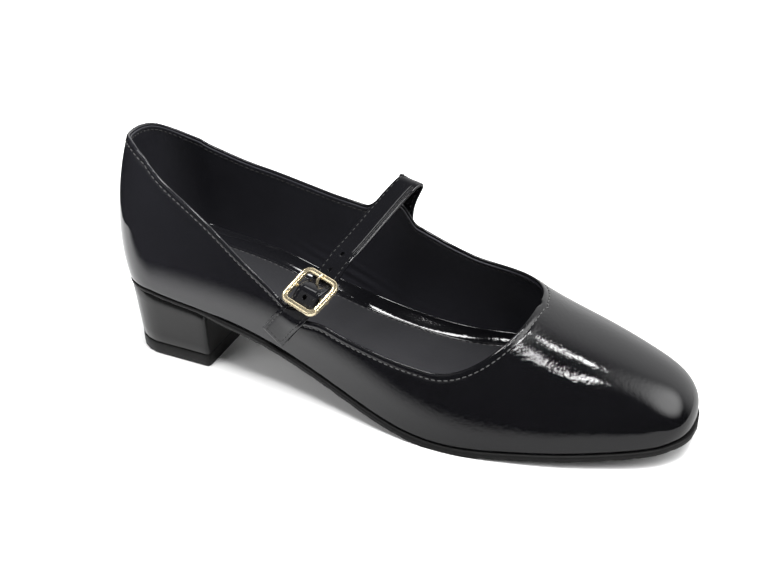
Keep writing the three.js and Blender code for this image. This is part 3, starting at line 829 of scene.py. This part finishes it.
FEATHER_ROWS = [row for row in STATIONS if row[0] > HEEL_END]
SEAT_FEET = [foot_point(u, LAT) for u in (1, 8, 14, 20, 26, 33, 40, 47)]
FEATHER = spline([*[foot.x for foot in SEAT_FEET], *[row[1] for row in FEATHER_ROWS], 244.7],
                 [*[foot.z for foot in SEAT_FEET], *[row[4] for row in FEATHER_ROWS], 9.9])


def feather_height(x):
    return FEATHER(min(246, max(4, x)))


def seat_share(x):
    return 1 - smoothstep(*SEAT_FADE, x)


def sole_top(x):
    return feather_height(x) - GAP


def sole_bottom(x):
    thick = SOLE_THICK + (SEAT_THICK - SOLE_THICK) * seat_share(x)
    spot = FLAT_SPOT
    flat = smoothstep(spot["start"], spot["full"], x) * (1 - smoothstep(spot["fade"], spot["end"], x))
    return max(0, sole_top(x) - thick - spot["depth"] * flat)


def row_places(start, end, count):
    """Places along the shoe, close together at both round ends."""
    return [start + (end - start) * crowded(i, count, 0.35) for i in range(count + 1)]


def edge_distance(x, y, path):
    return min((Vector((x, y, 0)) - p).length for p in path)


def plate(offset, top, bottom, rows, across, soften):
    """A curved plate of the outline, with its rims rounded off."""
    right, left = outline(LAT, offset), outline(MED, offset)
    rim = right + left
    columns = []
    for x in row_places(right[0].x + 0.02, right[-1].x - 0.02, rows):
        y0, y1 = edge_at(right, x), edge_at(left, x)
        upper, lower = [], []
        for k in range(across + 1):
            y = y0 + (y1 - y0) * crowded(k, across, 0.25)
            near = min(soften, edge_distance(x, y, rim))
            drop = soften - math.sqrt(soften ** 2 - (soften - near) ** 2)
            upper.append((x, y, top(x, y) - drop))
            lower.append((x, y, bottom(x) + drop))
        columns.append(upper + lower[::-1])
    return cap(net(columns, False, True))


def footbed():
    """Padded sock: its top follows the feather edge, its rim rounded down."""
    def top(x, y):
        return feather_height(x) + SOCK_LIFT + SOCK_THICK

    bm = plate(lambda x: -SOCK_INSET, top, lambda x: feather_height(x) + SOCK_LIFT, 90, 30, 0.8)
    finished("footbed", bm, FOOTBED, "insole")
    line = []
    for side in (LAT, MED):
        path = outline(side, lambda x: -SOCK_INSET - SOCK_ROW)
        points = [(Vector((p.x, p.y, top(p.x, p.y) + 0.02)), Vector((0, 0, 1))) for p in path]
        line += points if side == LAT else points[::-1]
    # these stitches use the thread whose lighter grey is a painted highlight
    thread_row("footbed_stitches", spaced(line, 2.8), GLINT_PAINTED_THREAD, 1.9, 0.24)


def wall_at(cells, rise):
    """Point and normal of a column at a distance up from the feather edge."""
    i = 1
    while i < len(cells) - 1 and cells[i]["rise"] < rise:
        i += 1
    low, high = cells[i - 1], cells[i]
    share = (rise - low["rise"]) / (high["rise"] - low["rise"])
    return low["point"].lerp(high["point"], share), low["normal"].lerp(high["normal"], share)


def footbed_border():
    """Glossy strip that covers the joint of the footbed and the lining."""
    columns = []
    for cells in UPPER:
        wall = [wall_at(cells, rise) for rise in BORDER_RISE]
        face = [point - normal * (LINING_IN + lift) for (point, normal), lift in zip(wall, BORDER_LIFT)]
        point, inward = wall[-1]
        inward.z = 0
        inward.normalize()
        root = point - inward * (LINING_IN + BORDER_WIDTH)
        root.z = feather_height(root.x) + SOCK_THICK + 0.45
        toe = root - inward * 1.4
        toe.z = feather_height(toe.x) + SOCK_THICK + 0.25
        front = face + [root, toe]
        back = [p + inward * 0.5 - Vector((0, 0, 0.35)) for p in front]
        columns.append(front + back[::-1])
    bm = cap(net(columns, True, True))
    return finished("footbed_border", bm, PATENT, None, 1)


def outsole():
    def offset(x):
        return SOLE_EDGE + (SEAT_EDGE - SOLE_EDGE) * seat_share(x)

    bm = plate(offset, lambda x, y: sole_top(x), sole_bottom, 120, 26, 0.45)
    return finished("outsole_unit", bm, SOLE, "outsole")


HEEL_CORNER = 1.6
HEEL_LEVELS = (0, 0.03, 0.2, 0.4, 0.6, 0.8, 0.97, 1)   # shares of the way down
HEEL_EASE = 0.35                # its top and bottom rims are drawn in by this much


def heel_ring(inset, down=1.0, corner=HEEL_CORNER):
    """Heel outline a share of the way down: round the back, with eased corners at the flat
    breast, and drawn forward by the rake."""
    ring = []
    squeeze = 1 - HEEL_RAKE * down / (BREAST_X - foot_point(0, LAT).x)
    for side in (LAT, MED):
        path = outline(side, lambda x: -inset)
        y = edge_at(path, BREAST_X)
        half = [Vector((p.x, p.y, 0)) for p in path if p.x < BREAST_X - corner - 0.8]
        half = half[::2] if side == LAT else half[2::2]
        for k in range(5):
            angle = math.pi / 2 * k / 4
            half.append(Vector((BREAST_X - corner * (1 - math.sin(angle)),
                                y - side * corner * (1 - math.cos(angle)), 0)))
        for k in (0.5, 0.75):
            half.append(Vector((BREAST_X, y * (1.5 - k) * 0.9, 0)))
        ring += half if side == LAT else half[::-1]
    for p in ring:
        p.x = BREAST_X - (BREAST_X - p.x) * squeeze
    return ring


def heel_block():
    """Covered heel: tapers down, with its seat cupped to the sole."""
    foot = TOP_PIECE + GAP
    rings = []
    for k in HEEL_LEVELS:
        inset = HEEL_TOP_INSET + (HEEL_FOOT_INSET - HEEL_TOP_INSET) * k
        if k in (0, 1):
            inset += HEEL_EASE
        ring = heel_ring(inset, k)
        rings.append([Vector((p.x, p.y, (sole_bottom(p.x) - GAP) * (1 - k) + foot * k)) for p in ring])
    bm = cap(net(zip(*rings), True))
    return finished("heel_cover", bm, HEEL, "heel_block", 0, 50)


def top_piece():
    """Rubber top piece, with its edges eased."""
    rings = []
    for z, inset in ((TOP_PIECE, 0.3), (TOP_PIECE - 0.3, 0), (TOP_PIECE / 2, 0), (0.5, 0), (0, 0.5)):
        rings.append([Vector((p.x, p.y, z)) for p in heel_ring(HEEL_FOOT_INSET + inset)])
    bm = cap(net(zip(*rings), True))
    return finished("heel_tip", bm, SOLE, "heel_top_piece", 0, 50)


# ---------------------------------------------------------------- strap, tab and buckle
REACH = [0.0]
for before, here in zip(STRAP_LINE, STRAP_LINE[1:]):
    REACH.append(REACH[-1] + (Vector(here[:3]) - Vector(before[:3])).length)
strap_line = splines(STRAP_COLUMNS, STRAP_LINE, REACH)
BUCKLE_REACH = REACH[BUCKLE_ROW]


def strap_frame(reach):
    """Point, and the directions along, across and out of the strap."""
    def at(k):
        return Vector((strap_line["x"](k), strap_line["y"](k), strap_line["z"](k)))

    along = (at(reach + 0.2) - at(reach - 0.2)).normalized()
    across = Vector([strap_line[name](reach) for name in ("across_x", "across_y", "across_z")])
    across = (across - along * across.dot(along)).normalized()
    return at(reach), along, across, across.cross(along).normalized()


def strap_height(reach):
    """The strap goes under the end bars of the buckle and over its pin."""
    under = BUCKLE["rise"] - BUCKLE["thick"] / 2 - BAR_CLEAR - STRAP_THICK / 2
    over = BUCKLE["pin_radius"] - BUCKLE["pin_drop"] + GAP + STRAP_THICK / 2
    half = BUCKLE["along"] / 2 - BUCKLE["bar"] / 2
    if reach > half:
        return under * (1 - smoothstep(half, 3 * half, reach))
    share = (1 + math.cos(math.pi * min(1, abs(reach) / half))) / 2
    return under + (over - under) * share


def band(start, end, steps, width, thick, height, stitch_inset):
    """A strap of folded leather: round edges, and a shallow channel under each stitch row."""
    half, count = width / 2, 26
    columns = []
    for i in range(steps + 1):
        reach = start + (end - start) * i / steps
        point, along, across, out = strap_frame(reach)
        lift = height(reach - BUCKLE_REACH)
        face, back = [], []
        for k in range(count + 1):
            s = 2 * crowded(k, count, 0.65) - 1
            full = max(0.0, 1 - abs(s) ** 10) ** 0.5 * thick / 2
            from_edge = half * (1 - abs(s))
            dent = 0.12 * hump(stitch_inset, 0.45, from_edge) * min(1, full / thick * 2)
            face.append(point + across * half * s + out * (lift + full - dent))
            back.append(point + across * half * s + out * (lift - full))
        columns.append(face + back[-2:0:-1])
    return cap(net(columns, False, True))


def on_strap(reach, across_mm, out_mm):
    point, along, across, out = strap_frame(reach)
    return point + across * across_mm + out * out_mm, along, out


def strap():
    """Strap over the instep, with its punched holes, a stitch row along each edge on both faces,
    and two rows across the end that is sewn to the inner side."""
    start, end = REACH[STRAP_START_ROW], REACH[-1]
    bm = band(start, end, 150, STRAP_WIDTH, STRAP_THICK, strap_height, STRAP_INSET)
    piece = finished("strap_band", bm, PATENT, "strap")
    punch(piece, [FIRST_HOLE + HOLE_PITCH * k for k in range(4)])
    half = STRAP_WIDTH / 2 - STRAP_INSET
    places = []
    for side in (-1, 1):
        for face in (-1, 1):
            reach = start + 1.2
            while reach < end - 1.5:
                lift = strap_height(reach - BUCKLE_REACH) + face * (STRAP_THICK / 2 - 0.14)
                point, along, out = on_strap(reach, side * half, lift)
                places.append((point, along, out))
                reach += STITCH_PITCH
    for back in STRAP_CROSS_ROWS:
        for k in range(-1, 3):
            reach = end - back
            lift = strap_height(reach - BUCKLE_REACH) + STRAP_THICK / 2 - 0.05
            point, along, out = on_strap(reach, (k - 0.5) * STITCH_PITCH, lift)
            places.append((point, along.cross(out), out))
    thread_row("strap_stitches", places, DARK_THREAD, 1.7, 0.22)


def punch(piece, reaches):
    """Punches round holes through the strap."""
    bm = bmesh.new()
    for reach in reaches:
        point, along, across, out = strap_frame(BUCKLE_REACH + reach)
        centre = point + out * strap_height(reach)
        turn = Matrix((along, across, along.cross(across))).transposed().to_4x4()
        bmesh.ops.create_cone(bm, cap_ends=True, segments=20, radius1=HOLE_RADIUS / 1000,
                              radius2=HOLE_RADIUS / 1000, depth=STRAP_THICK * 2.5 / 1000,
                              matrix=Matrix.Translation(place(centre)) @ turn)
    cutter = added("punch", bm)
    cut = piece.modifiers.new("holes", "BOOLEAN")
    cut.operation = "DIFFERENCE"
    cut.solver = "EXACT"
    cut.object = cutter
    bpy.context.view_layer.update()
    graph = bpy.context.evaluated_depsgraph_get()
    result = bpy.data.meshes.new_from_object(piece.evaluated_get(graph))
    piece.modifiers.clear()
    piece.data = result
    bpy.data.objects.remove(cutter)


def tab():
    """The tab that holds the buckle, stitched down on three sides."""
    end = BUCKLE_REACH + 1
    bm = band(0, end, 60, TAB_WIDTH, TAB_THICK, lambda reach: -TAB_DEPTH, TAB_INSET)
    finished("tab_band", bm, PATENT, "buckle_tab")
    half, low = TAB_WIDTH / 2 - TAB_INSET, 1.5
    lift = TAB_THICK / 2 - TAB_DEPTH - 0.10
    path = [on_strap(low + k * 0.5, -half, lift) for k in range(40, -1, -1)]
    path += [on_strap(low, -half + 2 * half * k / 8, lift) for k in range(1, 8)]
    path += [on_strap(low + k * 0.5, half, lift) for k in range(41)]
    places = spaced([(point, out) for point, along, out in path], 2.1)
    thread_row("tab_stitches", places, DARK_THREAD, 1.6, 0.24)


def in_buckle():
    """Turns millimetres in the buckle's own axes (across, along, out) into frame metres."""
    point, along, across, out = strap_frame(BUCKLE_REACH)
    turn = Matrix((across, along, out)).transposed().to_4x4()
    return Matrix.Translation(place(point)) @ turn @ Matrix.Scale(0.001, 4)


GROOVE = ((0.55, 0), (0.12, -0.22))   # in from the rim of the face, and down
BOW_EASE = 0.22
PIN_EASE = 0.16
LUG = (1.1, 1.8, 1.7)


def buckle_bow():
    """Frame of the buckle: a rounded square ring with a groove round its face."""
    bm = bmesh.new()
    bmesh.ops.create_grid(bm, x_segments=1, y_segments=1, size=0.5)
    bmesh.ops.scale(bm, vec=(BUCKLE["across"], BUCKLE["along"], 1), verts=bm.verts)
    bmesh.ops.bevel(bm, geom=bm.verts[:], offset=BUCKLE["corner"], offset_type="OFFSET",
                    affect="VERTICES", segments=10, profile=0.5, material=-1)
    middle = bm.faces[:]
    ring = bmesh.ops.inset_region(bm, faces=middle, thickness=BUCKLE["bar"],
                                  use_even_offset=True, use_boundary=True)["faces"]
    bmesh.ops.delete(bm, geom=middle, context="FACES")
    raised = bmesh.ops.extrude_face_region(bm, geom=ring, use_keep_orig=True)["geom"]
    top = [g for g in raised if isinstance(g, bmesh.types.BMFace)]
    verts = [g for g in raised if isinstance(g, bmesh.types.BMVert)]
    bmesh.ops.translate(bm, vec=(0, 0, BUCKLE["thick"]), verts=verts)
    bmesh.ops.recalc_face_normals(bm, faces=bm.faces)
    for inset, sunk in GROOVE:
        bmesh.ops.inset_region(bm, faces=top, thickness=inset, depth=sunk,
                               use_even_offset=True, use_boundary=True)
    ease_edges(bm, BOW_EASE, 3)
    bmesh.ops.translate(bm, vec=(0, 0, BUCKLE["rise"] - BUCKLE["thick"] / 2), verts=bm.verts)
    bmesh.ops.recalc_face_normals(bm, faces=bm.faces)
    bmesh.ops.transform(bm, matrix=in_buckle(), verts=bm.verts)
    return finished("buckle_bow", bm, GOLD, "buckle_frame", 0, 40)


def buckle_pin():
    """Pin across the frame, carried by a lug at each end."""
    bm = bmesh.new()
    lie = Matrix.Translation((0, 0, -BUCKLE["pin_drop"])) @ Matrix.Rotation(math.pi / 2, 4, "Y")
    bmesh.ops.create_cone(bm, cap_ends=True, segments=20, radius1=BUCKLE["pin_radius"],
                          radius2=BUCKLE["pin_radius"], depth=BUCKLE["across"] - 1.2, matrix=lie)
    for side in (-1, 1):
        lug = Matrix.Translation((side * (BUCKLE["across"] / 2 - 0.95), 0, -0.45))
        bmesh.ops.create_cube(bm, size=1, matrix=lug @ Matrix.Diagonal((*LUG, 1)))
    ease_edges(bm, PIN_EASE, 2)
    bmesh.ops.transform(bm, matrix=in_buckle(), verts=bm.verts)
    return finished("buckle_pin", bm, GOLD, None, 0, 40)


def buckle_prong():
    """Prong: from beside the pin up through the strap and on to the far bar, its tip rounded."""
    rest = BUCKLE["rise"] + BUCKLE["thick"] / 2 + PRONG_RADIUS + GAP
    line = spline([0, 1, 2, 3, 4], [1.7, 3.6, 4.8, 6.1, BUCKLE["along"] / 2 - 0.5])
    high = spline([0, 1, 2, 3, 4], [-BUCKLE["pin_drop"] - 0.4, -0.2, rest - 0.7, rest, rest])
    turn = in_buckle()
    steps, sides = 28, 14
    columns = []
    for i in range(steps + 1):
        k = 4 * i / steps
        centre = Vector((0, line(k), high(k)))
        ahead = Vector((0, line(k + 0.05), high(k + 0.05))) - centre
        up = Vector((1, 0, 0)).cross(ahead).normalized()
        tip = min(1, (steps - i) / 3 + 0.05, i / 2 + 0.3)
        radius = PRONG_RADIUS * math.sqrt(1 - (1 - tip) ** 2)
        columns.append([centre + (Vector((1, 0, 0)) * math.cos(a) + up * math.sin(a)) * radius
                        for a in (2 * math.pi * j / sides for j in range(sides))])
    bm = net([[turn @ p * 1000 + MIDDLE for p in ring] for ring in columns], False, True)
    return finished("buckle_tongue", cap(bm), GOLD, "buckle_prong")


# ---------------------------------------------------------------- floor, lights and camera
SHOE_MIDDLE = Vector((0.04, 0, 0.03))
# Soft glows of the dark room, each as direction, cosine of its edge and strength.
BACK_GLOW = ((0.16, 0.92, 0.36), 0.45, 1.25)
TOE_GLOW = ((0.80, 0.11, 0.59), 0.84, 4.2)
DARK_ROOM = 0.004
BACKDROP = 1.1
EYE = Vector((0.1679, -0.4131, 0.3102))
AIM = Vector((-0.0185, 0.0292, 0.0218))
LENS = 62.19


def sheet(name, middle, size, height, corner, material):
    """A flat sheet of the floor with rounded corners."""
    bm = bmesh.new()
    bmesh.ops.create_grid(bm, x_segments=1, y_segments=1, size=0.5)
    bmesh.ops.scale(bm, vec=(*size, 1), verts=bm.verts)
    bmesh.ops.bevel(bm, geom=bm.verts[:], offset=corner, offset_type="OFFSET",
                    affect="VERTICES", segments=8, profile=0.5, material=-1)
    bmesh.ops.translate(bm, vec=(*middle, height), verts=bm.verts)
    laid = added(name, bm, material)
    return laid


def floor_and_room():
    """A white table in a dark room. In the gloss a smaller white paper stands for it, fading out at its
    front edge and with painted shade that makes it dimmer towards the toe, for the shade near the shoe
    in the reflected floor."""
    table = Finish("white_floor", Roughness=0.9, Specular_IOR_Level=0.0)
    table.set("Base Color", grey(0.86))
    floor = sheet("floor", (0.1, 0.30), (3.2, 2.2), 0, 0.1, table.material)
    floor.visible_glossy = False
    paper = Finish("white_paper_painted_shade", Roughness=0.9, Specular_IOR_Level=0.0)
    front = paper.ramp(paper.axis("Y"), -0.096, -0.055)
    # painted shade: the paper's colour falls to 0.42 towards the toe, for the shade close to the shoe as
    # seen in the gloss
    side = paper.ramp(paper.axis("X"), 0.06, -0.10, 0.42, 1.0)
    paper.set("Base Color", paper.blend(front * side, grey(0), grey(0.86)))
    reflected = sheet("paper", (-0.035, 0.275), (0.43, 0.75), 0.0001, 0.06, paper.material)
    for hidden in ("visible_camera", "visible_diffuse", "visible_shadow", "visible_transmission"):
        setattr(reflected, hidden, False)
    world = bpy.data.worlds.new("room")
    bpy.context.scene.world = world
    world.use_nodes = True
    room = Shading(world.node_tree)
    way = room.node("ShaderNodeTexCoord", output="Generated")
    glows = []
    for direction, edge, strength in (BACK_GLOW, TOE_GLOW):
        toward = room.node("ShaderNodeVectorMath", {"operation": "DOT_PRODUCT"},
                           {0: way, 1: direction}, "Value")
        glows.append(room.ramp(toward, edge, 1.0, DARK_ROOM, strength))
    seen = room.node("ShaderNodeLightPath", output="Is Camera Ray")
    backdrop = room.nodes["Background"].inputs
    room.put(backdrop["Strength"], room.blend(seen, glows[0] + glows[1], BACKDROP, "FLOAT"))
    room.put(backdrop["Color"], grey(1))


def lamp(name, azimuth, height, distance, size, radiance, glossy=True, roll=0):
    """A soft panel seen from the shoe in a direction: degrees round from the toe, degrees up.
    Only some of the panels show in the gloss."""
    data = bpy.data.lights.new(name, "AREA")
    data.shape = "RECTANGLE"
    data.size, data.size_y = size
    data.energy = radiance * math.pi * size[0] * size[1]
    light = bpy.data.objects.new(name, data)
    round_to, up = math.radians(azimuth), math.radians(height)
    way = Vector((math.cos(up) * math.cos(round_to), math.cos(up) * math.sin(round_to), math.sin(up)))
    light.location = SHOE_MIDDLE + way * distance
    facing = (-way).to_track_quat("-Z", "Y") @ Quaternion((0, 0, 1), math.radians(roll))
    light.rotation_euler = facing.to_euler()
    light.visible_glossy = glossy
    light.visible_camera = False
    bpy.context.scene.collection.objects.link(light)


def lights():
    """Two broad panels for the soft light, and small ones that only draw the glints."""
    lamp("sky_panel", 90, 86, 1.6, (1.8, 1.8), 4.4, False)
    lamp("side_panel", 230, 32, 1.6, (1.0, 1.0), 3.0, False)
    lamp("streak_high", 14, 66, 1.3, (0.11, 0.05), 60)
    lamp("window_high", -37, 57, 1.3, (0.30, 0.022), 80, True, 25)
    lamp("border_glint", -20, 75, 1.3, (0.36, 0.15), 30)
    lamp("edge_light", -110, 72, 1.3, (0.40, 0.18), 26)
    lamp("strap_sheen", 158, 57, 1.3, (0.22, 0.13), 4)
    lamp("room_glow", 236, 24, 1.6, (1.5, 1.2), 0.35)


def camera():
    data = bpy.data.cameras.new("camera")
    data.lens = LENS
    data.sensor_width = 36
    data.clip_start = 0.01
    view = bpy.data.objects.new("camera", data)
    view.location = EYE
    view.rotation_euler = (AIM - EYE).to_track_quat("-Z", "Y").to_euler()
    bpy.context.scene.collection.objects.link(view)
    bpy.context.scene.camera = view


# ---------------------------------------------------------------- the shoe
camera()
upper_patent()
upper_lining()
topline_stitches()
footbed()
footbed_border()
outsole()
heel_block()
top_piece()
strap()
tab()
buckle_bow()
buckle_pin()
buckle_prong()
floor_and_room()
lights()
bpy.context.scene.view_settings.view_transform = "Standard"
